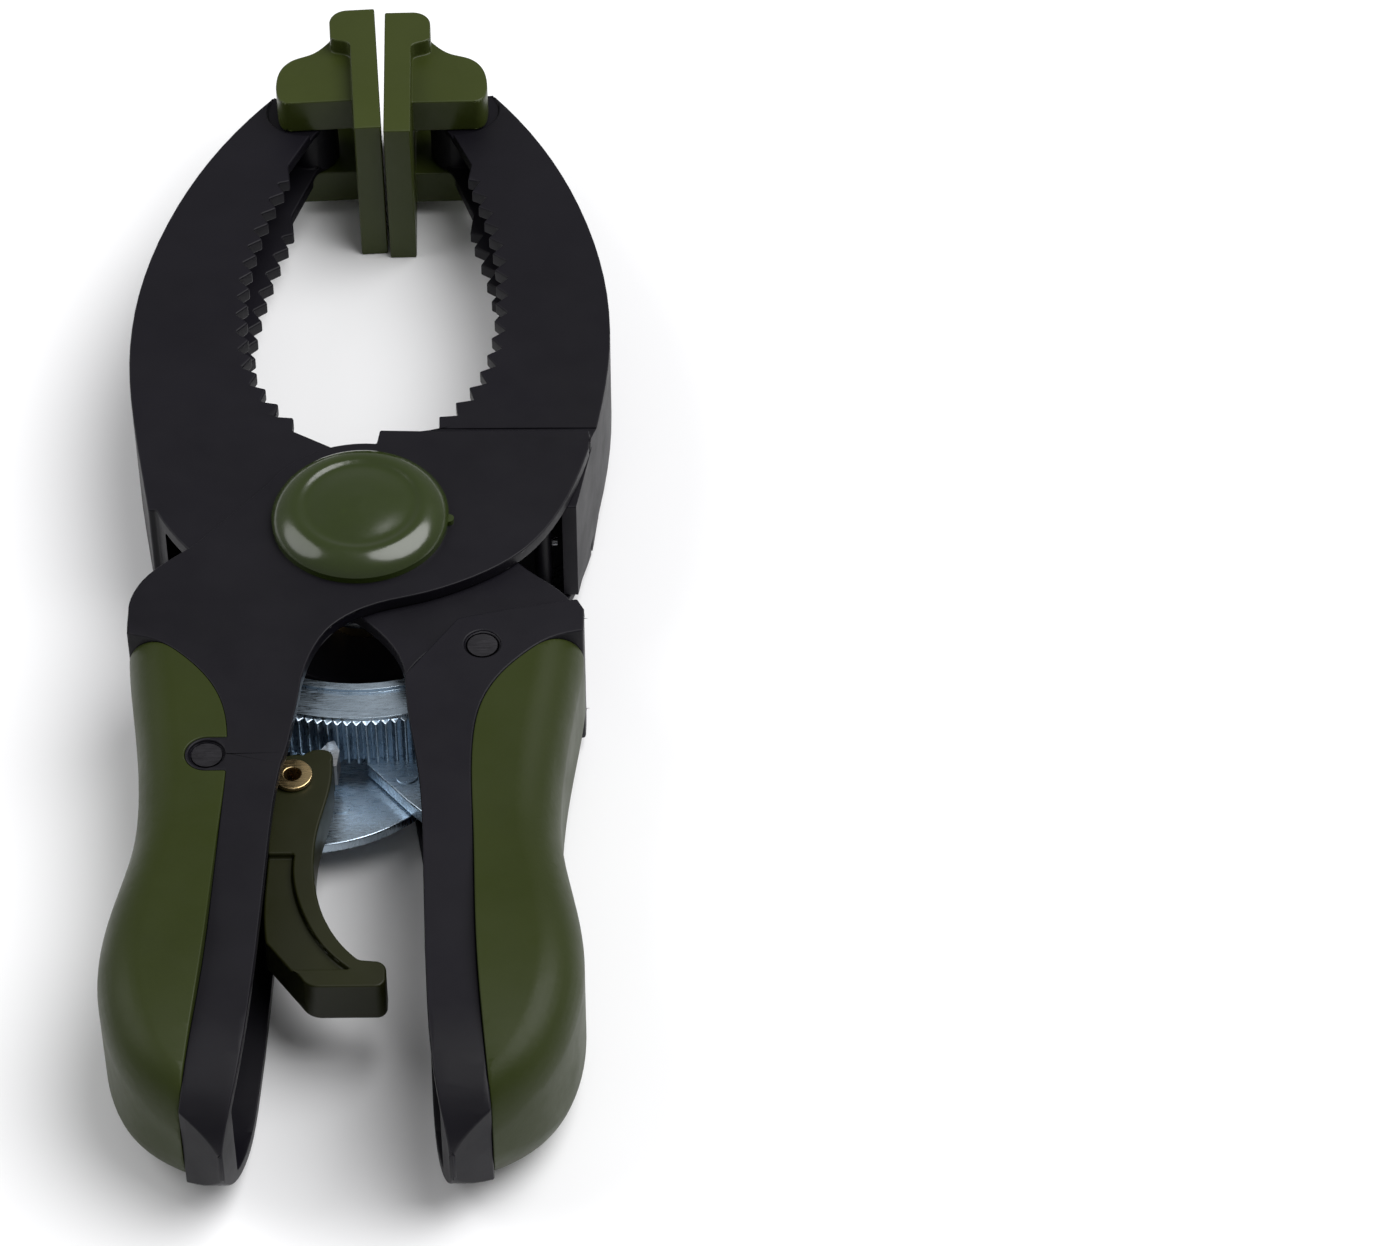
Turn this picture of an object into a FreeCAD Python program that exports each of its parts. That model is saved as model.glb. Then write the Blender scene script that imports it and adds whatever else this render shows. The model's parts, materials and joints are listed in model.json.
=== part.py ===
import FreeCAD, Part
import math
import os
from FreeCAD import Vector

# A one-hand ratcheting clamp lying on its back. Two moulded arms cross at a pivot; each carries a
# handle on one side and a toothed jaw on the other. +Y points to the jaws, +Z up through the pivot,
# and the origin lies on the pivot axis in the plane that the clamp rests on. Lengths in mm, angles
# in degrees. Every piece is drawn about the clamp's mid plane, z = 0, and lifted when it is saved.

# ---- overall sizes ----
jaw_reach = 117.5            # pivot axis to the outer corner of a jaw tip
jaw_half_width = 42.2        # pivot axis to the widest point of a jaw
handle_reach = 127.0         # pivot axis to the end of a handle
handle_half_width = 38.4     # pivot axis to the palm swell of a handle
handle_half_thickness = 13.5
pad_height = 31.5

# ---- arms ----
hub_radius = 18.3
hub_plate = 2.3              # wall of the hub and handle faces
level_gap = 0.2              # running gap between the faces of the two arms
jaw_plate = 2.7              # wall of the jaw faces
jaw_wall = 2.5               # outer side wall of a jaw
jaw_wall_end_y = 5.0         # the jaw's side wall stops short of the other arm's shoulder
jaw_taper_start_y = 20.0
jaw_tip_half_thickness = 4.9
jaw_tip_half_gap = 20.7      # half the distance between the two tip corners
jaw_face_width = 18.1        # width of a jaw face at its widest point
handle_wall = 2.3
handle_channel_end = 0.955   # share of the handle's reach where its open channel stops
handle_tip_x = 17.5
handle_nose_start = 0.83     # share of the handle's reach where its faces start to round down
handle_nose_length = 0.172
handle_nose_power = 2.2
waist_half_width = 34.5
left_shoulder_y = -7.5       # height of the left handle's straight shoulder edge at its middle
right_shoulder_y = -11.0     # the same for the right handle
shoulder_x = 38.0
ramp_y = 24.0                # top of the sloping band between the right jaw's face and the hub face
riser = 2.4                  # wall that joins the lower hub face to the right handle's face

# ---- jaw opening and teeth ----
opening_bottom_y = 24.0
opening_bottom_x = 12.7
opening_top_drop = 26.5      # tip corner down to the last tooth
tooth_count = 15
tooth_depth = 2.2
tooth_free_edge = 4.6        # short straight edge above the last tooth
throat_x = 12.6              # inner edge of the jaw where it meets the tip boss
throat_drop = 10.5

# ---- pads ----
pad_length = 33.2
pad_plate = 4.9
pad_head = 8.5               # depth of the thick far end of the pad
pad_wing_outer = 12.4        # mid plane to the outer face of a wing
pad_wing_gap = 5.3           # mid plane to the inner face of a wing
pad_wing_reach = 18.8        # clamping face to the outside of the lobe
pad_wing_front = 11.6        # front edge of the pad to the front edge of its wings
pad_pin_depth = 13.3         # clamping face to the pin
pad_pin_rise = 16.8          # front edge of the pad to the pin
pad_gap = 1.2                # between the two clamping faces at the height of the pins
pad_pin_drop = 4.3           # tip corner down to the pin
pad_pin_radius = 2.0
pad_pin_socket = 3.6         # length of the pin held in each wing
pad_pin_end_gap = 0.2        # left at each end of the pin
tip_boss_radius = 5.3
pad_lug_radius = 7.6
pad_lug_gap = 0.2
right_pad_turn = 1.3             # how each pad hangs on its pin with the clamp closed
left_pad_turn = 3.9

# ---- pivot ----
bolt_radius = 5.0
bush_radius = 7.0
bolt_head_radius = 9.0
bolt_head_height = 2.2
washer_thickness = 0.8
cap_radius = 15.0
cap_dome_height = 5.0
cap_ring_radius = 9.9        # groove between the rolled rim and the dome
cap_wall = 1.3
cap_nub_radius = 0.9
cap_mark_radius = 0.8        # small flat in the middle of the dome
nut_radius = 8.5
nut_height = 2.25
nut_floor = 0.8
spanner_hole_radius = 1.2
spanner_hole_depth = 1.3
spanner_hole_place = 0.68    # share of the nut's radius
bolt_socket_radius = 3.0
bolt_socket_depth = 1.4
cap_fit = 0.3                # cap to the bolt's head, all round
rest_boss_radius = 13.0
bolt_stub_radius = 3.4       # threaded end of the bolt inside the nut

# ---- grips ----
grip_skin = 2.4
grip_corner = 7.5
grip_swell = 2.2             # how far the palm swell stands above the handle faces
grip_top_y = -26.0
grip_line_x = 20.4           # front edge of the grip along the handle

# ---- ratchet ----
sector_outer = 39.2
sector_inner = 30.3
sector_top = 4.8
sector_bottom = -4.7
sector_lip = 0.7
tooth_pitch = 2.4
sector_from = -134.0
sector_to = -46.0
sector_tooth_depth = 1.0
sector_plate_thickness = 3.0
carrier_thickness = 2.0
carrier_inset = 10.7         # the carrier's round edge has a radius this much below the sector's
carrier_x = -9.0
carrier_y = -26.0
plate_gap = 0.3
rivet_radius = 2.5
small_rivet_radius = 1.5
rivet_head = 0.25            # height of the visible rivet heads on the two plates
carrier_rivet_x = -2.9
carrier_rivet_y = -45.5
plate_rivet_set_out = 3.514  # tips of the sector's teeth to this rivet
plate_rivet_angle = -78.795
pin_recess = 0.4             # pin ends lie this far below the handle faces
counterbore_gap = 0.5        # ring round each visible pin end
counterbore_depth = 0.6
tab_margin = 1.1             # hard tab round the left pin, beyond the pin
rivet_head_margin = 0.4
sector_rivet_depth = 3.0
inner_lip_width = 1.5
outer_lip_width = 1.7
left_pin_x = -23.2
low_pin_y = -52.8
right_low_pin_x = 23.2
right_high_pin_x = 21.2
right_high_pin_y = -28.9

# ---- release trigger ----
trigger_set_out = 11.575     # tips of the sector's teeth to the trigger's pin
trigger_angle = -101.243     # direction of that pin from the pivot
trigger_top = 4.0
trigger_bottom = -4.2
trigger_recess = 1.2
trigger_pin_radius = 2.4
trigger_pin_bore = 1.4
trigger_pin_flange = 0.9     # flange beyond the pin's radius
trigger_pin_flange_height = 0.8
trigger_play = 0.15          # between the trigger and the pin's upper flange
pawl_drop = 2.6              # top of the trigger down to the top of the pawl
pawl_rise = 0.8              # bottom of the trigger up to the bottom of the pawl
pawl_gap = 0.35

# ---- springs and fits ----
running_fit = 0.05
spring_wire = 1.6
spring_radius = 10.0
spring_turns = 3.0
spring_coil_gap = 0.2        # between neighbouring turns of the opening spring
trigger_spring_wire = 0.8
trigger_spring_radius = 3.7
trigger_spring_turns = 2.5
post_radius = 1.6
post_x = 30.5

# ---- sizes that follow from those above ----
jaw_half_thickness = handle_half_thickness - hub_plate - level_gap
hub_inner = handle_half_thickness - hub_plate
jaw_inner = jaw_half_thickness - jaw_plate
opening_half_width = jaw_half_width - jaw_face_width
opening_top_y = jaw_reach - opening_top_drop
throat_y = jaw_reach - throat_drop
pad_pin_x = pad_pin_depth + pad_gap / 2
pad_pin_y = jaw_reach - pad_pin_drop
sector_plate_bottom = sector_bottom - sector_plate_thickness
carrier_radius = sector_outer - carrier_inset
trigger_x = (sector_outer + trigger_set_out) * math.cos(math.radians(trigger_angle))
trigger_y = (sector_outer + trigger_set_out) * math.sin(math.radians(trigger_angle))
plate_rivet_x = (sector_outer + plate_rivet_set_out) * math.cos(math.radians(plate_rivet_angle))
plate_rivet_y = (sector_outer + plate_rivet_set_out) * math.sin(math.radians(plate_rivet_angle))
carrier_top = sector_plate_bottom - plate_gap
carrier_bottom = carrier_top - carrier_thickness
spring_leg_y = spring_radius
rest_plane = max(pad_height / 2, handle_half_thickness + nut_height)
tall = 3 * handle_half_thickness
far = 2 * max(jaw_reach, handle_reach)


def point(xy):
    return Vector(xy[0], xy[1], 0)


def line(a, b):
    return Part.makeLine(point(a), point(b))


def curve(points):
    """A smooth edge through the points."""
    spline = Part.BSplineCurve()
    spline.interpolate(Points=[point(p) for p in points])
    return spline.toShape()


def arc(a, b, c):
    return Part.Arc(point(a), point(b), point(c)).toShape()


def polar(radius, angle):
    return (radius * math.cos(math.radians(angle)), radius * math.sin(math.radians(angle)))


def lines(points):
    return [line(a, b) for a, b in zip(points[:-1], points[1:])]


def prism(edges, low, high):
    """Extrude a closed outline in the XY plane from one height to another."""
    wire = Part.Wire(Part.__sortEdges__(edges))
    face = Part.Face(wire)
    face.translate(Vector(0, 0, low))
    return face.extrude(Vector(0, 0, high - low))


def polygon(points, low, high):
    return prism(lines(points + points[:1]), low, high)


def cylinder(radius, low, high, x=0.0, y=0.0):
    return Part.makeCylinder(radius, high - low, Vector(x, y, low))


def tube(outer, inner, low, high, x=0.0, y=0.0):
    return cylinder(outer, low, high, x, y).cut(cylinder(inner, low, high, x, y))


def box(x0, x1, y0, y1, z0, z1):
    return Part.makeBox(x1 - x0, y1 - y0, z1 - z0, Vector(x0, y0, z0))


def front_and_back(shape):
    return shape.fuse(shape.mirror(Vector(0, 0, 0), Vector(0, 0, 1)))


def other_side(shape):
    return shape.mirror(Vector(0, 0, 0), Vector(1, 0, 0))


def join(shapes):
    whole = shapes[0].fuse(shapes[1:]) if len(shapes) > 1 else shapes[0]
    return whole.removeSplitter()


def side_prism(edges, x0, x1):
    """Extrude a closed outline given as (y, z) along X."""
    face = Part.Face(Part.Wire(Part.__sortEdges__(edges)))
    turn = FreeCAD.Rotation(Vector(1, 1, 1), 120)
    face.Placement = FreeCAD.Placement(Vector(x0, 0, 0), turn)
    return face.extrude(Vector(x1 - x0, 0, 0))


def save(name, shape):
    solid = shape.copy()
    solid.translate(Vector(0, 0, rest_plane))
    solid.exportStep("parts/" + name + ".step")
    print(name, len(solid.Solids), "valid" if solid.isValid() else "INVALID", round(solid.Volume, 1))


# ---- jaw outlines, drawn for the jaw on the +X side ----

def jaw_outside(inset=0.0):
    """Outer edge of a jaw from its tip corner to the shoulder of the hub."""
    shape = [(1.0, jaw_tip_half_gap / jaw_half_width), (0.852, 0.720), (0.682, 0.891),
             (0.511, 0.985), (0.36, 0.998), (0.17, 0.930), (0.0, 0.845)]
    points = [(width * jaw_half_width - inset, along * jaw_reach) for along, width in shape]
    return curve(points)


def opening_curve():
    """Line through the bottoms of the teeth, from the hub upwards."""
    shape = [(0.0, opening_bottom_x / opening_half_width), (0.085, 0.725), (0.18, 0.870),
             (0.31, 0.965), (0.47, 1.0), (0.64, 0.985), (0.79, 0.920), (1.0, 0.765)]
    span = opening_top_y - opening_bottom_y
    return curve([(width * opening_half_width, opening_bottom_y + along * span)
                  for along, width in shape])


def tooth_points():
    """Zigzag of the gripping teeth: equal steps along the opening, tips turned inwards."""
    valleys = opening_curve().discretize(Number=tooth_count + 1)
    points = []
    for low, high in zip(valleys[:-1], valleys[1:]):
        along = (high - low).normalize()
        middle = (low + high) * 0.5
        tip = middle + Vector(-along.y, along.x, 0) * tooth_depth
        points += [(low.x, low.y), (tip.x, tip.y)]
    last = valleys[-1]
    points.append((last.x, last.y))
    return points


def jaw_edges(hub_end):
    """Closed outline of a jaw face; hub_end lists the points that close it across the hub."""
    teeth = tooth_points()
    last = teeth[-1]
    shelf = (last[0] - tooth_depth, last[1] + 0.3 * tooth_depth)
    corner = (shelf[0] + 0.5, shelf[1] + tooth_free_edge)
    tip_corner = (jaw_tip_half_gap, jaw_reach)
    tip_top = (pad_pin_x, pad_pin_y + tip_boss_radius)
    tip_side = (pad_pin_x - tip_boss_radius, pad_pin_y)
    throat = (throat_x, throat_y)
    rim = (pad_pin_x - 0.707 * tip_boss_radius, pad_pin_y + 0.707 * tip_boss_radius)
    inner = lines([teeth[0]] + teeth[1:] + [shelf, corner, throat, tip_side])
    tip = [arc(tip_side, rim, tip_top), line(tip_top, tip_corner)]
    outside = jaw_outside()
    end = outside.Vertexes[-1].Point
    close = lines([(end.x, end.y)] + hub_end + [teeth[0]])
    return inner + tip + [outside] + close


def taper_edges(half, tip_half, reach):
    """Side view of the jaw: flat by the hub, then curving down to the tip."""
    run = reach - jaw_taper_start_y
    drop = half - tip_half
    radius = (run * run + drop * drop) / (2 * drop)

    def height(y):
        return half - radius + math.sqrt(radius ** 2 - (y - jaw_taper_start_y) ** 2)

    middle = jaw_taper_start_y + run / 2
    top = [(-far, half), (jaw_taper_start_y, half), (middle, height(middle)), (reach, height(reach))]
    bottom = [(y, -z) for y, z in reversed(top)]
    return [line(top[0], top[1]), arc(top[1], top[2], top[3]), line(top[3], bottom[0]),
            arc(bottom[0], bottom[1], bottom[2]), line(bottom[2], bottom[3]), line(bottom[3], top[0])]


def jaw(hub_end):
    """Channel-shaped jaw: two toothed faces, an outer wall and a boss for the pad's pin."""
    reach = jaw_reach + 2
    skin = side_prism(taper_edges(jaw_half_thickness, jaw_tip_half_thickness, reach), 0, far)
    inner_tip = jaw_tip_half_thickness - 0.85 * jaw_plate
    core = side_prism(taper_edges(jaw_inner, inner_tip, reach), 0, far)
    body = prism(jaw_edges(hub_end), -tall, tall).common(skin)
    inner_line = jaw_outside(jaw_wall)
    ends = [v.Point for v in (inner_line.Vertexes[0], inner_line.Vertexes[-1])]
    hollow = prism([inner_line] + lines([(ends[1].x, ends[1].y), (ends[1].x, -far), (-far, -far),
                                         (-far, ends[0].y), (ends[0].x, ends[0].y)]), -tall, tall)
    body = body.cut(hollow.common(core.fuse(box(0, far, -far, 0, -jaw_inner, jaw_inner))))
    side = jaw_side_wall(skin)
    boss = cylinder(tip_boss_radius, -tall, tall, pad_pin_x, pad_pin_y).common(skin)
    return join([body, side, boss])


def jaw_side_wall(skin):
    """Outer wall of the jaw, carried straight on past the faces to its free end."""
    outside = jaw_outside()
    inside = jaw_outside(jaw_wall)
    a, b = [v.Point for v in (outside.Vertexes[0], outside.Vertexes[-1])]
    c, d = [v.Point for v in (inside.Vertexes[0], inside.Vertexes[-1])]
    wall = prism([outside, inside, line((a.x, a.y), (c.x, c.y)), line((b.x, b.y), (d.x, d.y))],
                 -tall, tall)
    return wall.common(skin).cut(box(0, far, -far, jaw_wall_end_y, -tall, tall))


def pad_seat(arm):
    """Thin the jaw tip between the pad's wings and bore it for the pin."""
    lug_half = pad_wing_gap - pad_lug_gap
    lug = cylinder(pad_lug_radius, lug_half, tall, pad_pin_x, pad_pin_y)
    bore = cylinder(pad_pin_radius, -tall, tall, pad_pin_x, pad_pin_y)
    return arm.cut(front_and_back(lug)).cut(bore)


# ---- handle outlines, drawn for the handle on the +X side ----

HANDLE_SHARES = [0.166, 0.25, 0.354, 0.457, 0.567, 0.662, 0.748, 0.827, 0.888]
HANDLE_WIDTHS = [0.990, 0.975, 0.928, 0.898, 0.917, 0.974, 1.0, 0.968, 0.890]


def handle_outside(y):
    """Half width of the grip side of a handle at a distance below the pivot."""
    shares = HANDLE_SHARES + [0.925, 0.953, 0.975, 1.0]
    widths = HANDLE_WIDTHS + [0.800, 0.695, 0.600, 0.470]
    share = max(shares[0], min(1.0, -y / handle_reach))
    for (y0, y1, w0, w1) in zip(shares[:-1], shares[1:], widths[:-1], widths[1:]):
        if share <= y1:
            break
    width = w0 + (w1 - w0) * (share - y0) / (y1 - y0)
    waist = math.exp(-((share - 0.457) / 0.10) ** 2)
    return handle_half_width * width + waist * (waist_half_width - 0.898 * handle_half_width)


def outside_points(inset=0.0):
    """Points of the outer edge from the shoulder to where the slanted end begins."""
    shares = HANDLE_SHARES + [0.925, 0.945]
    return [(handle_outside(-s * handle_reach) - inset, -s * handle_reach) for s in shares]


def inner_edge_points():
    """Edge of the handle that faces the other handle, from the pivot's arch to the end."""
    shape = [(0.28, 8.5), (0.357, 9.5), (0.434, 11.1), (0.55, 12.3), (0.709, 13.1), (0.80, 13.7),
             (0.88, 14.5), (0.95, 15.9)]
    return [(x, -s * handle_reach) for s, x in shape]


def nose_half(y):
    """Half thickness of a handle, which rounds down towards its end."""
    fall = max(0.0, -y / handle_reach - handle_nose_start) / handle_nose_length
    return handle_half_thickness * (1 - fall ** handle_nose_power) ** (1 / handle_nose_power)


def handle_side(inset, end):
    """Side view of a handle down to a share of its reach: flat, then rounded towards its end."""
    start = -handle_nose_start * handle_reach
    stations = [start + (-end * handle_reach - start) * step / 8 for step in range(9)]
    top = [(y, nose_half(y) - inset) for y in stations]
    bottom = [(y, -z) for y, z in top]
    half = top[0][1]
    return [line((far, half), top[0]), curve(top), line(top[-1], bottom[-1]), curve(bottom),
            line(bottom[0], (far, -half)), line((far, -half), (far, half))]


def handle_outline(upper):
    """Closed outline of a handle from its arch edge round the shoulder to the end."""
    outside = outside_points()
    corner = (handle_tip_x + 0.9, -handle_reach + 0.35)
    tip = (handle_tip_x - 0.1, -handle_reach + 0.6)
    return [curve(upper["shoulder"] + [outside[0]]), curve(outside), line(outside[-1], corner),
            arc(corner, (handle_tip_x + 0.3, -handle_reach + 0.1), tip),
            curve([tip] + list(reversed(inner_edge_points()))), line(*upper["arch"])]


def grip_section(y, inset, lift):
    """Rounded section of the handle at one station, open towards the other handle."""
    swell = lift * math.exp(-((-y / handle_reach - 0.74) / 0.16) ** 2)
    half = nose_half(y) - inset * 0.9 + swell * nose_half(y) / handle_half_thickness
    outer = handle_outside(y) - inset
    corner = min(grip_corner - 0.6 * inset, 0.8 * half)
    k = corner * (1 - math.sqrt(0.5))
    x0 = handle_tip_x - 8.0
    ring = [(x0, -half), (outer - corner, -half), (outer, corner - half), (outer, half - corner),
            (outer - corner, half), (x0, half)]
    low = (outer - k, k - half)
    high = (outer - k, half - k)

    def at(xz):
        return Vector(xz[0], y, xz[1])

    edges = [Part.makeLine(at(ring[0]), at(ring[1])),
             Part.Arc(at(ring[1]), at(low), at(ring[2])).toShape(),
             Part.makeLine(at(ring[2]), at(ring[3])),
             Part.Arc(at(ring[3]), at(high), at(ring[4])).toShape(),
             Part.makeLine(at(ring[4]), at(ring[5])),
             Part.makeLine(at(ring[5]), at(ring[0]))]
    return Part.Wire(edges)


def grip_form(inset, lift):
    """Rounded body of the palm side of a handle, lofted through its sections."""
    shares = HANDLE_SHARES + [0.925, 0.953, 0.975]
    return Part.makeLoft([grip_section(-s * handle_reach, inset, lift) for s in shares], True, False)


def grip_region(tab_x, with_tab):
    """Plan area that the soft grip covers; a tab of the hard handle may reach into it."""
    edge = [(shoulder_x + 4, grip_top_y + 0.6), (shoulder_x - 1.0, grip_top_y - 0.2),
            (shoulder_x - 5, grip_top_y - 1.4), (shoulder_x - 10, grip_top_y - 5.2),
            (grip_line_x + 3.6, grip_top_y - 10), (grip_line_x + 0.8, grip_top_y - 16),
            (grip_line_x - 0.4, grip_top_y - 24), (grip_line_x, grip_top_y - 42),
            (grip_line_x + 1.1, grip_top_y - 69), (grip_line_x + 2.4, -0.87 * handle_reach),
            (grip_line_x + 4.6, -1.02 * handle_reach)]
    last = edge[-1]
    region = prism([curve(edge)] + lines([last, (far, last[1]), (far, edge[0][1]), edge[0]]),
                   -tall, tall)
    if with_tab:
        r = rivet_radius + tab_margin
        tab = cylinder(r, -tall, tall, tab_x, low_pin_y)
        tab = tab.fuse(box(grip_line_x - 4, tab_x, low_pin_y - r, low_pin_y + r, -tall, tall))
        region = region.cut(tab)
    return region


def handle(upper, region):
    """Hard handle: hollow, open towards the other handle, recessed where the grip covers it."""
    outline = prism(handle_outline(upper), -tall, tall)
    shell = outline.common(side_prism(handle_side(0.0, 1.0), -far, far))
    seat = grip_form(grip_skin, 0.0).common(region).common(outline)
    hollow = grip_form(grip_skin + handle_wall, 0.0)
    channel = side_prism(handle_side(handle_wall, handle_channel_end), -far, grip_line_x - 2)
    above_end = box(-far, far, -handle_channel_end * handle_reach, 0, -tall, tall)
    hub_space = box(-far, far, grip_top_y - 6, far, -hub_inner, hub_inner)
    hard = shell.cut(region).fuse(seat)
    hard = hard.cut(hollow.common(above_end)).cut(channel).cut(hub_space)
    return hard.fuse(shoulder_wall(outline, hollow, region))


def shoulder_wall(outline, hollow, region):
    """Outer wall of the handle above the grip, below the open shoulder."""
    top = -HANDLE_SHARES[0] * handle_reach - 0.5
    half = hub_inner + 0.1
    inside = handle_outside(top) - grip_skin - handle_wall
    wall = box(inside, far, grip_top_y - 1, top, -half, half)
    return wall.common(outline).cut(hollow).cut(region)


def grip(region):
    """Soft cover of the palm side, with a crowned palm swell."""
    skin = grip_form(0.0, grip_swell).common(region)
    return skin.cut(grip_form(grip_skin, 0.0))


# ---- the two arms ----

def shoulder_points(shoulder_y):
    """Straight upper edge of a shoulder, rounded into the handle's side."""
    return [(shoulder_x - 11.0, shoulder_y + 2.9), (shoulder_x - 8.0, shoulder_y),
            (shoulder_x - 3.7, shoulder_y - 3.9), (shoulder_x - 0.9, shoulder_y - 8.2)]


def hub_points(shares):
    return [(x * hub_radius, y * hub_radius) for x, y in shares]


def hub_face_left_handle():
    """Outline of the upper hub face: circle, straight shoulder edge, handle root and jaw root."""
    outside = jaw_outside()
    jaw_root = outside.valueAt(outside.FirstParameter
                               + 0.86 * (outside.LastParameter - outside.FirstParameter))
    right = [(jaw_root.x, jaw_root.y)] + hub_points([
        (2.02, 0.57), (1.81, 0.03), (1.50, -0.42), (1.26, -0.62), (0.93, -0.81), (0.55, -0.96),
        (0.22, -1.055), (0.0, -1.16), (-0.22, -1.345), (-0.38, -1.64)])
    left_shoulder = [(-x, y) for x, y in shoulder_points(left_shoulder_y)]
    step_x = 0.12 * hub_radius
    step_low = (step_x, math.sqrt(hub_radius ** 2 - step_x ** 2))
    step_high = (1.2 * step_x, ramp_y - 2.7)
    leave_angle = math.radians(152)
    over_angle = math.radians(118)
    leave = (hub_radius * math.cos(leave_angle), hub_radius * math.sin(leave_angle))
    over = (hub_radius * math.cos(over_angle), hub_radius * math.sin(over_angle))
    outer = [(-x, y) for x, y in outside_points()[:3]]
    inner = [(-x, y) for x, y in inner_edge_points()[1:3]]
    band_y = ramp_y - 3.0
    return [arc(step_low, over, leave), line(leave, left_shoulder[0]),
            curve(left_shoulder + [outer[0]]), curve(outer), line(outer[-1], inner[-1]),
            curve(list(reversed(inner)) + list(reversed(right))),
            line(right[0], (right[0][0], band_y)),
            line((right[0][0], band_y), (opening_bottom_x - 0.2, band_y)),
            line((opening_bottom_x - 0.2, band_y), step_high), line(step_high, step_low)]


def ramp_band():
    """Sloping wall between the upper arm's jaw face and its higher hub face."""
    low_y = ramp_y - 5.0
    section = [(ramp_y, jaw_half_thickness), (low_y, handle_half_thickness),
               (low_y - 1.0, handle_half_thickness), (low_y - 1.0, hub_inner), (low_y, hub_inner),
               (ramp_y - 1.0, jaw_inner), (ramp_y, jaw_inner)]
    band = side_prism(lines(section + section[:1]), 0, far)
    outside = jaw_outside()
    start, end = [v.Point for v in (outside.Vertexes[0], outside.Vertexes[-1])]
    step_x = 0.144 * hub_radius
    plan = prism([outside] + lines([(end.x, end.y), (step_x, end.y), (step_x, ramp_y - 2.7),
                                    (opening_bottom_x, opening_bottom_y),
                                    (opening_bottom_x, start.y), (start.x, start.y)]), -tall, tall)
    return band.common(plan)


def spring_post(half):
    """Post between the faces of a jaw's root that a leg of the opening spring bears on."""
    return cylinder(post_radius, -half, half, post_x, spring_leg_y - spring_wire / 2 - post_radius)


def handle_pin_hole(x, y):
    """Through hole for a handle pin, with a shallow counterbore at each face."""
    hole = cylinder(rivet_radius, -tall, tall, x, y)
    ring = cylinder(rivet_radius + counterbore_gap, handle_half_thickness - counterbore_depth, tall,
                    x, y)
    return hole.fuse(front_and_back(ring))


def arm_left_handle():
    """Moulded arm with the upper hub faces: handle on the -X side, jaw on the +X side."""
    jaw_part = jaw([(throat_x, 0.0), (throat_x, ramp_y)])
    face_band = box(-far, far, -far, ramp_y - 1.0, -tall, tall)
    taper = taper_edges(jaw_half_thickness, jaw_tip_half_thickness, jaw_reach + 2)
    side_wall = jaw_side_wall(side_prism(taper, 0, far))
    region = grip_region(-left_pin_x, True)
    hub = front_and_back(prism(hub_face_left_handle(), hub_inner, handle_half_thickness))
    hub = hub.cut(other_side(region))
    upper = {"shoulder": shoulder_points(left_shoulder_y), "arch": [
        inner_edge_points()[0], shoulder_points(left_shoulder_y)[0]]}
    left_handle = other_side(handle(upper, region))
    rest_boss = tube(rest_boss_radius, nut_radius + running_fit, -rest_plane, -handle_half_thickness)
    arm = join([jaw_part.cut(face_band), side_wall, hub, front_and_back(ramp_band()), left_handle,
                rest_boss, spring_post(hub_inner + 0.5)])
    arm = arm.cut(cylinder(bolt_radius + running_fit, -tall, tall))
    arm = arm.cut(handle_pin_hole(left_pin_x, low_pin_y)).cut(carrier_plate_blank())
    return pad_seat(arm)


def step_line(shift=0.0):
    """Line along which the lower arm rises from its hub level to its handle level."""
    x0 = inner_edge_points()[0][0]
    y0 = inner_edge_points()[0][1]
    points = [(shoulder_x + 2.0, right_shoulder_y - 7.2), (shoulder_x - 8, right_shoulder_y - 9.0),
              (shoulder_x - 18, right_shoulder_y - 11.2), (x0 + 5.7, right_shoulder_y - 13.3),
              (x0 + 1.6, right_shoulder_y - 17.5), (x0 - 1.6, y0 - 1.5)]
    return [(x, y - shift) for x, y in points]


def above(points):
    """Everything on the pivot's side of a line that runs from the outside inwards."""
    first, last = points[0], points[-1]
    return prism([curve(points)] + lines([last, (-far, last[1]), (-far, far), (far, far),
                                          (far, first[1]), first]), -tall, tall)


def lower_hub_faces():
    """Hub faces of the lower arm, one level below the upper arm's, out to its shoulder."""
    shoulder = shoulder_points(right_shoulder_y)
    outer = outside_points()[0]
    inner = inner_edge_points()[0]
    diagonal = sum(shoulder[1])
    start = (0.995 * hub_radius, diagonal - 0.995 * hub_radius)
    arch = curve([inner, (0.30 * hub_radius, -1.42 * hub_radius),
                  (0.11 * hub_radius, -1.19 * hub_radius), (-0.2 * hub_radius, -0.9 * hub_radius)])
    web = prism([line(start, shoulder[0]), curve(shoulder + [outer]), line(outer, inner), arch]
                + lines([(-0.2 * hub_radius, -0.9 * hub_radius), (0, 0), start]),
                jaw_inner, jaw_half_thickness)
    disc = cylinder(hub_radius, jaw_inner, jaw_half_thickness)
    outline_below = above(step_line(riser))
    return front_and_back(web.common(outline_below).fuse(disc))


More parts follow.
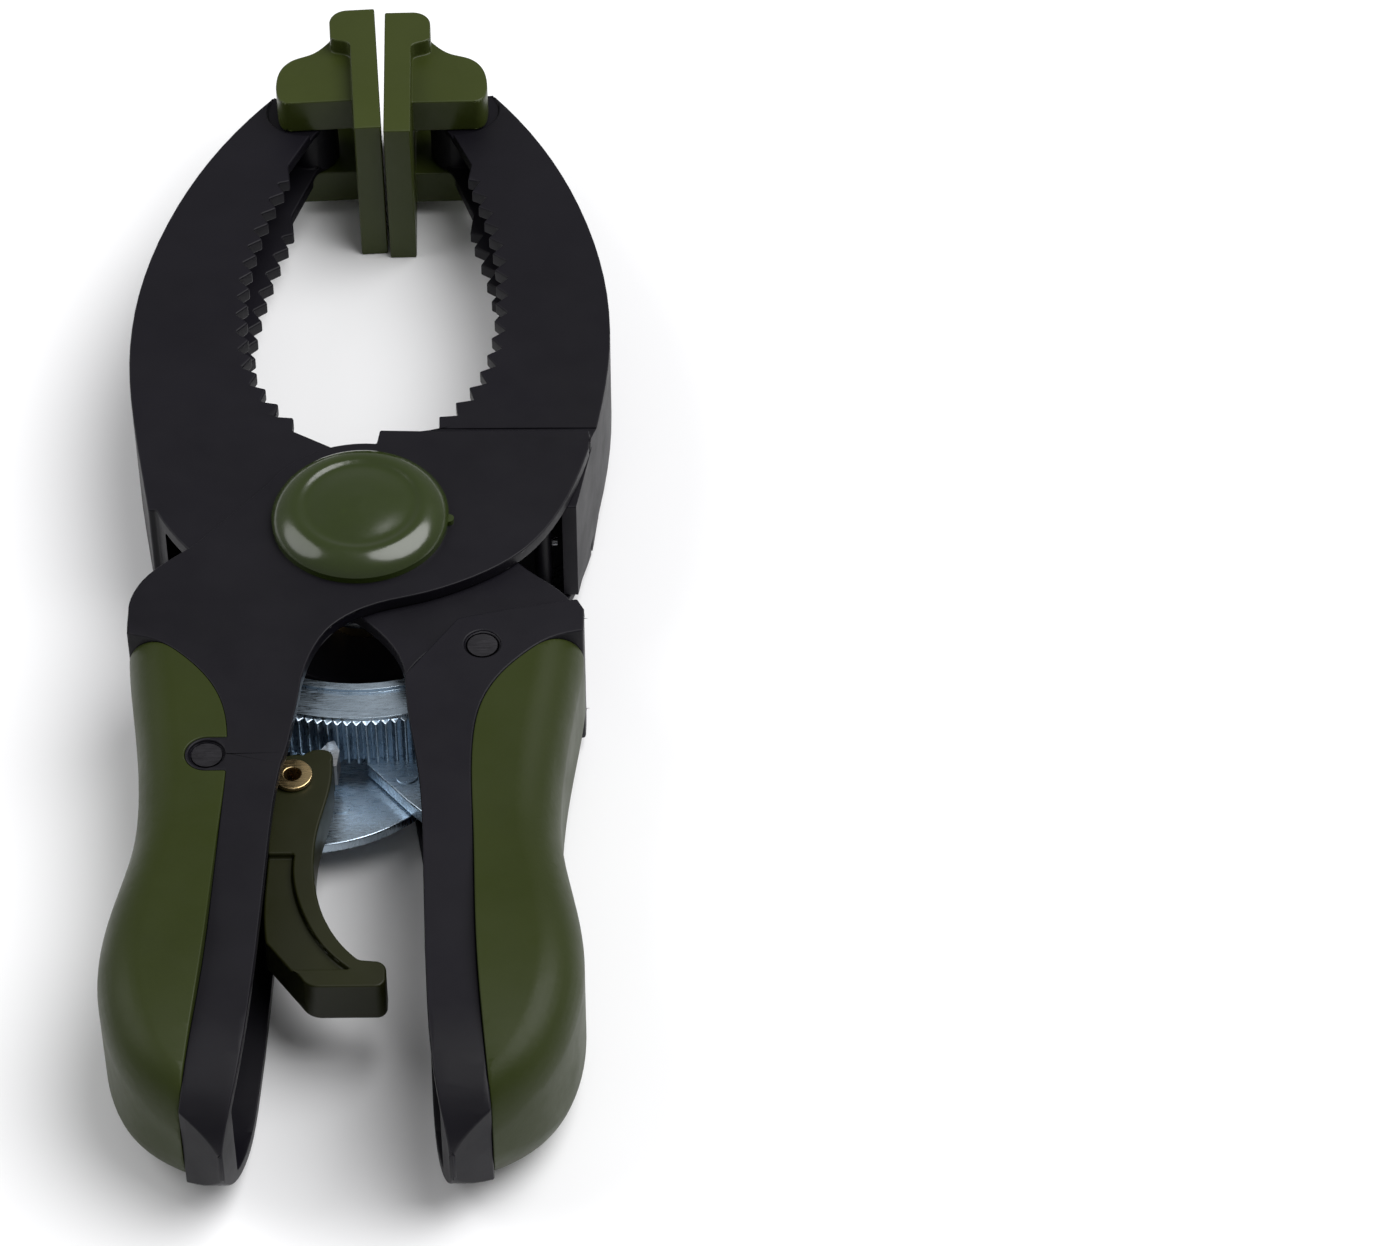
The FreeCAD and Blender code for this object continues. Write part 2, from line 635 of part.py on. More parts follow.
def arm_right_handle():
    """Moulded arm with the lower hub faces: jaw on the -X side, handle on the +X side."""
    root = hub_points([(1.53, -0.30), (0.90, -0.62), (0.0, -0.9), (0.0, 0.9)])
    jaw_part = jaw(root)
    corner_curve = [(jaw_half_width + 1.0, 0.16 * jaw_reach)] + hub_points(
        [(2.10, 0.84), (1.99, 0.46), (1.80, 0.05), (1.53, -0.30), (1.25, -0.52)])
    last = corner_curve[-1]
    corner = prism([curve(corner_curve)] + lines([last, (last[0], -far), (far, -far),
                                                  (far, corner_curve[0][1]), corner_curve[0]]),
                   -tall, tall)
    taper = taper_edges(jaw_half_thickness, jaw_tip_half_thickness, jaw_reach + 2)
    side_wall = jaw_side_wall(side_prism(taper, 0, far))
    left_jaw = other_side(pad_seat(join([jaw_part.cut(corner), side_wall,
                                         spring_post(jaw_inner + 0.5)])))
    upper = {"shoulder": shoulder_points(right_shoulder_y), "arch": [
        inner_edge_points()[0], shoulder_points(right_shoulder_y)[0]]}
    right_handle = handle(upper, grip_region(right_low_pin_x, False)).cut(above(step_line()))
    riser_plan = above(step_line(riser)).cut(above(step_line()))
    riser_wall = prism(handle_outline(upper), jaw_inner, handle_half_thickness).common(riser_plan)
    arm = join([left_jaw, right_handle, front_and_back(riser_wall), lower_hub_faces()])
    arm = arm.cut(cylinder(bush_radius, -tall, tall))
    low_pin = cylinder(rivet_radius, -low_pin_half(), low_pin_half(), right_low_pin_x, low_pin_y)
    return arm.cut(handle_pin_hole(right_high_pin_x, right_high_pin_y)).cut(low_pin)


def low_pin_half():
    """Half length of the right handle's lower pin, which ends under the grip."""
    return handle_half_thickness - grip_skin


# ---- pivot ----

def revolve(profile_edges):
    face = Part.Face(Part.Wire(Part.__sortEdges__(profile_edges)))
    return face.revolve(Vector(0, 0, 0), Vector(0, 0, 1), 360)


def pivot_cap():
    """Domed snap-on cap: rolled rim, shallow ring groove and dome, hollow over the bolt head."""
    z0 = handle_half_thickness
    groove = cap_ring_radius / cap_radius
    shape = [(1.0, 0.24), (0.975, 0.37), (0.90, 0.60), (0.81, 0.755), (groove + 0.08, 0.815),
             (groove + 0.03, 0.81), (groove - 0.01, 0.77), (groove - 0.05, 0.745),
             (groove - 0.12, 0.77), (0.40, 0.865), (0.20, 0.95),
             (cap_mark_radius / cap_radius, 1.0)]
    skin = Part.BSplineCurve()
    skin.interpolate(Points=[Vector(r * cap_radius, 0, z0 + h * cap_dome_height) for r, h in shape])
    foot = Vector(cap_radius, 0, z0)
    middle = Vector(0, 0, z0 + cap_dome_height)
    profile = [skin.toShape(), Part.makeLine(skin.EndPoint, middle),
               Part.makeLine(middle, Vector(0, 0, z0)), Part.makeLine(Vector(0, 0, z0), foot),
               Part.makeLine(foot, skin.StartPoint)]
    nub = cylinder(cap_nub_radius, z0, z0 + 1.0, cap_radius, -0.8)
    body = revolve(profile).fuse(nub)
    head_top = washer_thickness + bolt_head_height
    head_space = cylinder(bolt_head_radius + cap_fit, z0, z0 + head_top + cap_fit / 2)
    rim_space = cylinder(cap_radius - cap_wall, z0, z0 + 0.6 * cap_wall)
    return body.cut(head_space).cut(rim_space)


def pivot_bolt():
    top = handle_half_thickness + washer_thickness
    head = cylinder(bolt_head_radius, top, top + bolt_head_height)
    hexagon = [polar(bolt_socket_radius, angle) for angle in range(0, 360, 60)]
    head_top = top + bolt_head_height
    socket = polygon(hexagon, head_top - bolt_socket_depth, head_top)
    shank = cylinder(bolt_radius, -handle_half_thickness, top)
    stub = cylinder(bolt_stub_radius, -rest_plane + nut_floor, -handle_half_thickness)
    return head.fuse([shank, stub]).cut(socket)


def pivot_nut():
    """Flat round nut, closed at the back, turned by two spanner holes."""
    nut = cylinder(nut_radius, -rest_plane, -handle_half_thickness)
    nut = nut.cut(cylinder(bolt_stub_radius, -rest_plane + nut_floor, -handle_half_thickness))
    for side in (-1, 1):
        x = side * spanner_hole_place * nut_radius
        nut = nut.cut(cylinder(spanner_hole_radius, -rest_plane, -rest_plane + spanner_hole_depth,
                               x))
    return nut


def pivot_washer():
    return tube(bolt_head_radius, bolt_radius + running_fit, handle_half_thickness,
                handle_half_thickness + washer_thickness)


def pivot_bush():
    """Bush fixed in the lower arm's hub; it turns on the bolt."""
    half = jaw_half_thickness + level_gap / 2
    return tube(bush_radius, bolt_radius + running_fit, -half, half)


# ---- springs ----

def coil_points(radius, pitch, turns, start_angle, centre):
    """Points along a coil that climbs from a centre on its axis."""
    count = int(turns * 14)
    points = []
    for step in range(count + 1):
        share = step / count
        angle = math.radians(start_angle + 360 * turns * share)
        points.append(centre + Vector(radius * math.cos(angle), radius * math.sin(angle),
                                      pitch * turns * share))
    return points


def leg_points(end, out, count=6):
    """Points along a straight leg, from where it leaves the coil out to its far end."""
    return [end + (out - end) * (step / count) for step in range(1, count + 1)]


def bent_wire(points, wire):
    """Round wire bent along a smooth line through points in space."""
    path = Part.BSplineCurve()
    path.interpolate(Points=points)
    start = points[0]
    section = Part.Wire(Part.makeCircle(wire / 2, start, points[1] - start))
    return Part.Wire(path.toShape()).makePipeShell([section], True, False)


def opening_spring():
    """Torsion spring round the bush; its legs push the two jaw roots apart."""
    pitch = spring_wire + spring_coil_gap
    height = pitch * spring_turns
    turns = coil_points(spring_radius, pitch, spring_turns, 90.0, Vector(0, 0, -height / 2))
    reach = Vector(post_x + 2.5, 0, 0)
    first = leg_points(turns[0], turns[0] + reach)
    last = leg_points(turns[-1], turns[-1] - reach)
    return bent_wire(list(reversed(first)) + turns + last, spring_wire)


def trigger_spring():
    """Small torsion spring round the trigger pin, below the trigger."""
    room = trigger_bottom - carrier_top - trigger_spring_wire
    pitch = room * 0.9 / trigger_spring_turns
    bottom = carrier_top + trigger_spring_wire / 2 + 0.05 * room
    turns = coil_points(trigger_spring_radius, pitch, trigger_spring_turns, 0.0,
                        Vector(trigger_x, trigger_y, bottom))
    first = leg_points(turns[0], turns[0] - Vector(0, 9.0, 0))
    last = leg_points(turns[-1], turns[-1] - Vector(0, 7.0, 0))
    return bent_wire(list(reversed(first)) + turns + last, trigger_spring_wire)


# ---- ratchet ----

def ratchet_sector():
    """Toothed sector centred on the pivot, with a rolled lip along both edges of its top."""
    count = int(round((sector_to - sector_from) / tooth_pitch))
    root = sector_outer - sector_tooth_depth
    points = []
    for i in range(count):
        angle = sector_from + i * tooth_pitch
        points += [polar(root, angle), polar(sector_outer, angle + 0.35 * tooth_pitch),
                   polar(sector_outer, angle + 0.55 * tooth_pitch)]
    end = sector_from + count * tooth_pitch
    points.append(polar(root, end))
    middle = (sector_from + end) / 2
    inside = arc(polar(sector_inner, end), polar(sector_inner, middle),
                 polar(sector_inner, sector_from))
    edges = (lines(points) + [line(points[-1], polar(sector_inner, end)), inside,
                              line(polar(sector_inner, sector_from), points[0])])
    body = prism(edges, sector_bottom, sector_top)
    lips = [tube(sector_inner + inner_lip_width, sector_inner, sector_top, sector_top + sector_lip),
            tube(root, root - outer_lip_width, sector_top, sector_top + sector_lip)]
    lips = [lip.common(prism(edges, sector_bottom, tall)) for lip in lips]
    sector = body.fuse(lips).removeSplitter()
    for x, y in sector_rivet_places():
        sector = sector.cut(cylinder(small_rivet_radius, -tall, sector_bottom + sector_rivet_depth, x, y))
    return sector.cut(cylinder(rivet_radius, -tall, tall, right_high_pin_x, right_high_pin_y))


def sector_rivet_places():
    middle = (sector_inner + sector_outer) / 2
    return [polar(middle, angle) for angle in (-80.0, -66.0)]


def sector_plate():
    """Plate under the sector that ties it to the right handle; its free edge runs diagonally."""
    points = [(4.0, -31.5), (1.5, -39.2), (9.0, -48.0), (right_low_pin_x - 4, low_pin_y - 5.5),
              (right_low_pin_x + 3.5, low_pin_y - 4.5), (right_low_pin_x + 5.5, low_pin_y + 3),
              (right_high_pin_x + 8, right_high_pin_y), (right_high_pin_x + 3.5, right_high_pin_y + 5),
              (right_high_pin_x - 2, right_high_pin_y + 5.5)]
    plate = polygon(points, sector_plate_bottom, sector_bottom)
    plate = plate.cut(cylinder(sector_inner, -tall, tall))
    holes = [(rivet_radius, right_high_pin_x, right_high_pin_y), (rivet_radius, right_low_pin_x, low_pin_y)]
    holes += [(small_rivet_radius, x, y) for x, y in sector_rivet_places()]
    holes.append((small_rivet_radius, plate_rivet_x, plate_rivet_y))
    for radius, x, y in holes:
        plate = plate.cut(cylinder(radius, -tall, tall, x, y))
    return plate


def sector_rivets():
    rivets = [cylinder(small_rivet_radius, sector_plate_bottom, sector_bottom + sector_rivet_depth, x, y)
              for x, y in sector_rivet_places()]
    return Part.makeCompound(rivets)


def flush_rivet(x, y, bottom, top):
    """Rivet set in a plate with a low dome standing just above it."""
    stem = cylinder(small_rivet_radius, bottom, top, x, y)
    return stem.fuse(cylinder(small_rivet_radius + rivet_head_margin, top, top + rivet_head, x, y))


def carrier_plate_blank():
    """Round-edged plate fixed in the left handle below the ratchet."""
    disc = cylinder(carrier_radius, carrier_bottom, carrier_top, carrier_x, carrier_y)
    limits = polygon([(-29.0, -33.0), (4.0, -33.0), (12.5, -43.0), (12.5, -70.0),
                      (-29.0, -70.0)], -tall, tall)
    return disc.common(limits)


def carrier_plate():
    plate = carrier_plate_blank()
    plate = plate.cut(cylinder(rivet_radius, -tall, tall, left_pin_x, low_pin_y))
    plate = plate.cut(cylinder(small_rivet_radius, -tall, tall, carrier_rivet_x, carrier_rivet_y))
    return plate.cut(cylinder(trigger_pin_radius, -tall, tall, trigger_x, trigger_y))


def handle_pin_left():
    half = handle_half_thickness - pin_recess
    return cylinder(rivet_radius, -half, half, left_pin_x, low_pin_y)


def handle_pins_right():
    half = handle_half_thickness - pin_recess
    high = cylinder(rivet_radius, -half, half, right_high_pin_x, right_high_pin_y)
    low = cylinder(rivet_radius, -low_pin_half(), low_pin_half(), right_low_pin_x, low_pin_y)
    return Part.makeCompound([high, low])


# ---- release trigger, drawn relative to its pin ----

def from_pin(points):
    return [(trigger_x + x, trigger_y + y) for x, y in points]


def release_trigger():
    """J-shaped lever: boss round the pin, narrow neck, curved arm and finger foot."""
    left = curve(from_pin([(-3.0, -34.0), (-3.6, -25.0), (-3.6, -12.0), (-4.7, -3.0), (-4.2, 2.6)]))
    crown = arc(*from_pin([(-4.2, 2.6), (-1.6, 4.75), (1.6, 5.1)]))
    nose = curve(from_pin([(1.6, 5.1), (4.0, 6.3), (5.7, 5.9), (6.3, 3.6)]))
    right = curve(from_pin([(6.3, 3.6), (6.1, -3.0), (4.6, -11.0), (4.3, -20.0), (5.7, -28.0),
                            (8.8, -34.6), (12.2, -38.6)]))
    top = line(*from_pin([(12.2, -38.6), (14.9, -38.9)]))
    corner = arc(*from_pin([(14.9, -38.9), (16.2, -39.6), (16.6, -40.8)]))
    side = line(*from_pin([(16.6, -40.8), (16.6, -42.4)]))
    toe = arc(*from_pin([(16.6, -42.4), (16.1, -43.7), (14.8, -44.2)]))
    sole = line(*from_pin([(14.8, -44.2), (6.2, -44.2)]))
    heel = arc(*from_pin([(6.2, -44.2), (4.4, -43.7), (3.1, -42.4)]))
    back = line(*from_pin([(3.1, -42.4), (-3.0, -34.0)]))
    body = prism([left, crown, nose, right, top, corner, side, toe, sole, heel, back],
                 trigger_bottom, trigger_top)
    rib_line = curve(from_pin([(0.9, -16.4), (1.0, -22.0), (2.7, -28.6), (6.0, -35.2),
                               (10.9, -40.5)]))
    recess = prism([rib_line] + lines(from_pin([(10.9, -40.5), (2.0, -40.5), (-8.0, -34.0),
                                                (-8.0, -16.4), (0.9, -16.4)])),
                   trigger_top - trigger_recess, tall)
    body = body.cut(recess).cut(pawl_blank())
    return body.cut(cylinder(trigger_pin_radius + running_fit, -tall, tall, trigger_x, trigger_y))


def pawl_blank():
    """Steel insert in the trigger's nose whose tooth faces the sector."""
    tip_radius = sector_outer + pawl_gap
    tip = polar(tip_radius, -95.2)
    points = [tip, polar(tip_radius + 2.2, -93.6), polar(tip_radius + 5.6, -93.8),
              polar(tip_radius + 6.0, -98.6), polar(tip_radius + 3.0, -98.4),
              polar(tip_radius + 0.6, -96.6)]
    return polygon(points, trigger_bottom + pawl_rise, trigger_top - pawl_drop)


def trigger_pin():
    """Hollow rivet through the trigger and the plate below it, flanged at both ends."""
    flange = trigger_pin_radius + trigger_pin_flange
    low = carrier_bottom - trigger_pin_flange_height
    high = trigger_top + trigger_play
    head = high + trigger_pin_flange_height
    shape = cylinder(trigger_pin_radius, low, head, trigger_x, trigger_y)
    shape = shape.fuse([cylinder(flange, high, head, trigger_x, trigger_y),
                        cylinder(flange, low, carrier_bottom, trigger_x, trigger_y)])
    return shape.cut(cylinder(trigger_pin_bore, carrier_bottom, tall, trigger_x, trigger_y))


# ---- pads, drawn with the clamping face at x = 0 and the front edge at y = 0 ----

def pad():
    """Clamping plate with a thick far end and two wings that hold the pin."""
    half = pad_height / 2
    round_end = 3.4
    k = round_end * (1 - math.sqrt(0.5))
    neck_y = pad_length - 10.6
    shoulder_y = pad_length - 7.4
    plate = prism(lines([(0, pad_length), (0, 0), (pad_plate, 0), (pad_plate, neck_y)])
                  + [curve([(pad_plate, neck_y), (pad_plate + 0.9, neck_y + 1.7),
                            (pad_head - 0.6, shoulder_y - 0.7), (pad_head, shoulder_y)]),
                     line((pad_head, shoulder_y), (pad_head, pad_length - round_end)),
                     arc((pad_head, pad_length - round_end), (pad_head - k, pad_length - k),
                         (pad_head - round_end, pad_length)),
                     line((pad_head - round_end, pad_length), (0, pad_length))], -half, half)
    reach = pad_wing_reach
    front = pad_wing_front
    lobe = [(reach - 2.6, front), (reach - 0.7, front + 0.8), (reach, front + 2.8),
            (reach, front + 6.2), (reach - 0.8, front + 9.4), (reach - 3.2, front + 12.1),
            (reach - 6.8, front + 13.6), (reach - 8.9, front + 15.4), (pad_head, pad_length - 4.4)]
    wing = prism([curve(lobe)] + lines([lobe[-1], (pad_plate - 1, lobe[-1][1]), (pad_plate - 1, front),
                                        lobe[0]]), pad_wing_gap, pad_wing_outer)
    socket_half = pad_wing_gap + pad_pin_socket + pad_pin_end_gap
    socket = cylinder(pad_pin_radius + running_fit, -socket_half, socket_half, pad_pin_depth,
                      pad_pin_rise)
    return plate.fuse(front_and_back(wing)).removeSplitter().cut(socket)


def placed_pad(side, turn):
    """Hang a pad on its pin; side is 1 for the +X jaw and -1 for the -X jaw."""
    shape = pad()
    shape.translate(Vector(-pad_pin_depth, -pad_pin_rise, 0))
    if side < 0:
        shape = other_side(shape)
    shape.rotate(Vector(0, 0, 0), Vector(0, 0, 1), turn)
    shape.translate(Vector(side * pad_pin_x, pad_pin_y, 0))
    return shape


def pad_pin(side):
    half = pad_wing_gap + pad_pin_socket
    return cylinder(pad_pin_radius, -half, half, side * pad_pin_x, pad_pin_y)


os.makedirs("parts", exist_ok=True)
save("arm_left_handle", arm_left_handle())
save("arm_right_handle", arm_right_handle())
save("grip_left", other_side(grip(grip_region(-left_pin_x, True))))
save("grip_right", grip(grip_region(right_low_pin_x, False)))
save("pivot_cap", pivot_cap())
save("pivot_bolt", pivot_bolt())
save("pivot_nut", pivot_nut())
save("pivot_washer", pivot_washer())
save("pivot_bush", pivot_bush())
save("opening_spring", opening_spring())
save("ratchet_sector", ratchet_sector())
save("sector_plate", sector_plate())
save("sector_rivets", sector_rivets())
save("carrier_plate", carrier_plate())
save("carrier_rivet", flush_rivet(carrier_rivet_x, carrier_rivet_y, carrier_bottom, carrier_top))
save("plate_rivet", flush_rivet(plate_rivet_x, plate_rivet_y, sector_plate_bottom, sector_bottom))
save("handle_pin_left", handle_pin_left())
save("handle_pins_right", handle_pins_right())
save("release_trigger", release_trigger())
save("pawl", pawl_blank())
save("trigger_pin", trigger_pin())
save("trigger_spring", trigger_spring())
save("pad_right", placed_pad(1, right_pad_turn))
save("pad_left", placed_pad(-1, left_pad_turn))
save("pad_pin_right", pad_pin(1))
save("pad_pin_left", pad_pin(-1))
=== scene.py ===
import json
import math

import bmesh
import bpy
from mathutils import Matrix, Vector


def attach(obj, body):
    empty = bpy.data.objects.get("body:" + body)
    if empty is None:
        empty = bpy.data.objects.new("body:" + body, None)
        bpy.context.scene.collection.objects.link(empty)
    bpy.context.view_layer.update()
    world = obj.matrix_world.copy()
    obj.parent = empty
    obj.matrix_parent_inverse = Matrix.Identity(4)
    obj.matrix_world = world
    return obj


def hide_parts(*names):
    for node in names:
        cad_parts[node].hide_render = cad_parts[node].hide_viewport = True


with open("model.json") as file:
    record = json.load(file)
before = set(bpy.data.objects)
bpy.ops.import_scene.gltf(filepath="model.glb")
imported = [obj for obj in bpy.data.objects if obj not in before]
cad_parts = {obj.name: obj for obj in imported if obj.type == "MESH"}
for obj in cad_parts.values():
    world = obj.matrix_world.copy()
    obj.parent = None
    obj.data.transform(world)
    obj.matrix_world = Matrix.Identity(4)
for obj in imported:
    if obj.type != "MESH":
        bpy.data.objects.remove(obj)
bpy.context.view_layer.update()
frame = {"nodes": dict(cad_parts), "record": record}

record = frame["record"]
node_slot = {row["node"]: row["material_slot"] for row in record["subparts"]}
node_body = {node: body for body, nodes in record["behaviour"]["bodies"].items() for node in nodes}
collection = bpy.context.scene.collection

# ---- camera: 47 degrees down on the clamp, turned very slightly against it ----
CAMERA_AT = (0.05097, -0.61457, 0.6619)
CAMERA_TILT = math.radians(43.0)    # from straight down
CAMERA_TURN = math.radians(-0.6)
SENSOR_WIDTH = 36.0                 # mm
FOCAL_LENGTH = 133.9                # mm
camera_data = bpy.data.cameras.new("camera")
camera_data.sensor_fit = "HORIZONTAL"
camera_data.sensor_width = SENSOR_WIDTH
camera_data.lens = FOCAL_LENGTH
camera_data.dof.use_dof = False
camera_data.clip_end = 10.0
camera = bpy.data.objects.new("camera", camera_data)
camera.location = CAMERA_AT
camera.rotation_euler = (CAMERA_TILT, 0.0, CAMERA_TURN)
collection.objects.link(camera)
bpy.context.scene.camera = camera


# ---- materials ----
class Nodes:
    """Small helper for building a node tree in object coordinates."""

    def __init__(self, name):
        self.material = bpy.data.materials.new(name)
        self.material.use_nodes = True
        self.tree = self.material.node_tree
        self.shader = self.tree.nodes["Principled BSDF"]
        self.place = self.tree.nodes.new("ShaderNodeTexCoord").outputs["Object"]

    def add(self, kind, **values):
        node = self.tree.nodes.new(kind)
        for key, value in values.items():
            if hasattr(node, key):
                setattr(node, key, value)
            else:
                node.inputs[key.replace("_", " ")].default_value = value
        return node

    def link(self, out, into):
        self.tree.links.new(out, into)

    def noise(self, scale, detail=3.0, rough=0.55, stretch=None):
        node = self.add("ShaderNodeTexNoise", Scale=scale, Detail=detail, Roughness=rough)
        if stretch:
            mapping = self.add("ShaderNodeMapping", Scale=stretch)
            self.link(self.place, mapping.inputs["Vector"])
            self.link(mapping.outputs["Vector"], node.inputs["Vector"])
        else:
            self.link(self.place, node.inputs["Vector"])
        return node.outputs["Fac"]

    def ramp(self, fac, low, high, a, b):
        node = self.add("ShaderNodeMapRange")
        for key, value in (("From Min", low), ("From Max", high), ("To Min", a), ("To Max", b)):
            node.inputs[key].default_value = value
        self.link(fac, node.inputs["Value"])
        return node.outputs["Result"]

    def colours(self, fac, stops):
        node = self.add("ShaderNodeValToRGB")
        elements = node.color_ramp.elements
        while len(elements) < len(stops):
            elements.new(0.5)
        for element, (at, colour) in zip(elements, stops):
            element.position = at
            element.color = (*colour, 1.0)
        self.link(fac, node.inputs["Fac"])
        return node.outputs["Color"]

    def mix(self, fac, a, b):
        node = self.add("ShaderNodeMix", data_type="RGBA")
        self.link(fac, node.inputs[0])
        for slot, value in ((6, a), (7, b)):
            if isinstance(value, tuple):
                node.inputs[slot].default_value = (*value, 1.0)
            else:
                self.link(value, node.inputs[slot])
        return node.outputs[2]

    def bump(self, height, strength, distance, after=None):
        node = self.add("ShaderNodeBump", Strength=strength, Distance=distance)
        self.link(height, node.inputs["Height"])
        if after is not None:
            self.link(after, node.inputs["Normal"])
        return node.outputs["Normal"]

    def finish(self, colour=None, rough=None, normal=None, **sockets):
        if colour is not None:
            self.link(colour, self.shader.inputs["Base Color"])
        if rough is not None:
            self.link(rough, self.shader.inputs["Roughness"])
        if normal is not None:
            self.link(normal, self.shader.inputs["Normal"])
        for key, value in sockets.items():
            self.shader.inputs[key.replace("_", " ")].default_value = value
        return self.material


def shade(colour, by):
    return tuple(min(1.0, c * by) for c in colour)


def moulded(name, colour, rough, grain=2600.0, grain_height=0.00003, grain_strength=0.35,
            edge=1.5, variation=0.16, **sockets):
    """Injection-moulded plastic or rubber: spark-eroded grain, faint flow marks and worn edges."""
    n = Nodes(name)
    cloud = n.noise(38.0, 4.0, 0.6)
    flow = n.noise(14.0, 5.0, 0.5, (1.0, 0.25, 1.0))
    speck = n.noise(grain, 2.0, 0.7)
    body = n.colours(cloud, [(0.3, shade(colour, 1 - variation)), (0.7, shade(colour, 1 + variation))])
    body = n.mix(n.ramp(flow, 0.45, 0.75, 0.0, 0.35), body, shade(colour, 1 + 1.6 * variation))
    worn = n.ramp(n.add("ShaderNodeNewGeometry").outputs["Pointiness"], 0.52, 0.60, 0.0, 0.55)
    body = n.mix(worn, body, shade(colour, edge))
    body = n.mix(n.ramp(speck, 0.35, 0.7, 0.0, 0.25), body, shade(colour, 1 + 2 * variation))
    gloss = n.ramp(n.noise(90.0, 4.0, 0.65), 0.3, 0.7, rough - 0.05, rough + 0.07)
    ripple = n.bump(flow, 0.25, 0.0002)
    skin = n.bump(speck, grain_strength, grain_height, ripple)
    return n.finish(body, gloss, skin, **sockets)


def plated(name, light, dark, rough, brush=(1.0, 12.0, 1.0), scale=500.0, **sockets):
    """Plated or drawn metal: fine brushing, clouded plating and small handling marks."""
    n = Nodes(name)
    grain = n.noise(scale, 4.0, 0.6, brush)
    cloud = n.noise(70.0, 4.0, 0.6)
    marks = n.noise(900.0, 2.0, 0.8)
    tone = n.colours(cloud, [(0.3, dark), (0.72, light)])
    tone = n.mix(n.ramp(marks, 0.62, 0.75, 0.0, 0.4), tone, shade(dark, 0.6))
    gloss = n.ramp(grain, 0.3, 0.7, rough - 0.08, rough + 0.12)
    surface = n.bump(grain, 0.25, 0.00003, n.bump(cloud, 0.2, 0.0002))
    return n.finish(tone, gloss, surface, Metallic=1.0, **sockets)


BLACK = (0.0034, 0.0029, 0.0052)
materials = {
    "black_nylon": moulded("black_nylon", BLACK, 0.47, edge=2.2, variation=0.2,
                           Specular_IOR_Level=0.2),
    "green_grip": moulded("green_grip", (0.0185, 0.0262, 0.0020), 0.46, grain=1800.0, edge=1.15,
                          variation=0.09, Specular_IOR_Level=0.22),
    "green_pad": moulded("green_pad", (0.0300, 0.0395, 0.0070), 0.36, grain=1500.0,
                         grain_strength=0.2, edge=1.25, variation=0.1,
                         Specular_IOR_Level=0.25),
    "green_cap": moulded("green_cap", (0.0165, 0.0270, 0.0018), 0.2, grain=900.0,
                         grain_strength=0.08, edge=1.2, variation=0.08, Coat_Weight=0.35,
                         Coat_Roughness=0.12),
    "green_trigger": moulded("green_trigger", (0.0110, 0.0122, 0.0022), 0.42, grain=2000.0,
                             edge=1.4, variation=0.12, Specular_IOR_Level=0.25),
    "zinc_plate": plated("zinc_plate", (0.62, 0.74, 0.86), (0.42, 0.52, 0.62), 0.27),
    "steel": plated("steel", (0.60, 0.61, 0.63), (0.42, 0.43, 0.45), 0.3),
    "dark_steel": plated("dark_steel", (0.060, 0.058, 0.064), (0.030, 0.029, 0.033), 0.4),
    "spring_steel": plated("spring_steel", (0.48, 0.49, 0.51), (0.30, 0.31, 0.33), 0.28),
    "brass_rivet": plated("brass_rivet", (0.78, 0.60, 0.34), (0.52, 0.38, 0.18), 0.25),
    "brass_bush": plated("brass_bush", (0.72, 0.54, 0.28), (0.50, 0.36, 0.17), 0.35),
}


# ---- pieces ----
HOLED = ("arm_left_handle",)    # one flat face has two holes, so its facets stay as they are
WELD_DISTANCE = 2e-6            # metres
FLAT_ANGLE = math.radians(0.6)  # facets this close to one plane become one face
EDGE_ANGLE = math.radians(26.0)  # only sharper edges are rounded
EDGE_SEGMENTS = 2


def finished(node, width):
    """The node's own shape with its edges rounded as moulding or tumbling leaves them."""
    mesh = frame["nodes"][node].data.copy()
    work = bmesh.new()
    work.from_mesh(mesh)
    bmesh.ops.remove_doubles(work, verts=work.verts, dist=WELD_DISTANCE)
    if node not in HOLED:
        bmesh.ops.dissolve_limit(work, angle_limit=FLAT_ANGLE, verts=work.verts,
                                 edges=work.edges)
    for face in work.faces:
        face.smooth = True
    work.to_mesh(mesh)
    work.free()
    mesh.materials.clear()
    mesh.materials.append(materials[node_slot[node]])
    piece = bpy.data.objects.new(node + "_piece", mesh)
    collection.objects.link(piece)
    bevel = piece.modifiers.new("edges", "BEVEL")
    bevel.limit_method = "ANGLE"
    bevel.angle_limit = EDGE_ANGLE
    bevel.width = width
    bevel.segments = EDGE_SEGMENTS
    bevel.use_clamp_overlap = False
    bevel.miter_outer = "MITER_ARC"
    bevel.harden_normals = True
    normals = piece.modifiers.new("normals", "WEIGHTED_NORMAL")
    normals.keep_sharp = True
    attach(piece, node_body[node])
    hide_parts(node)
    return piece


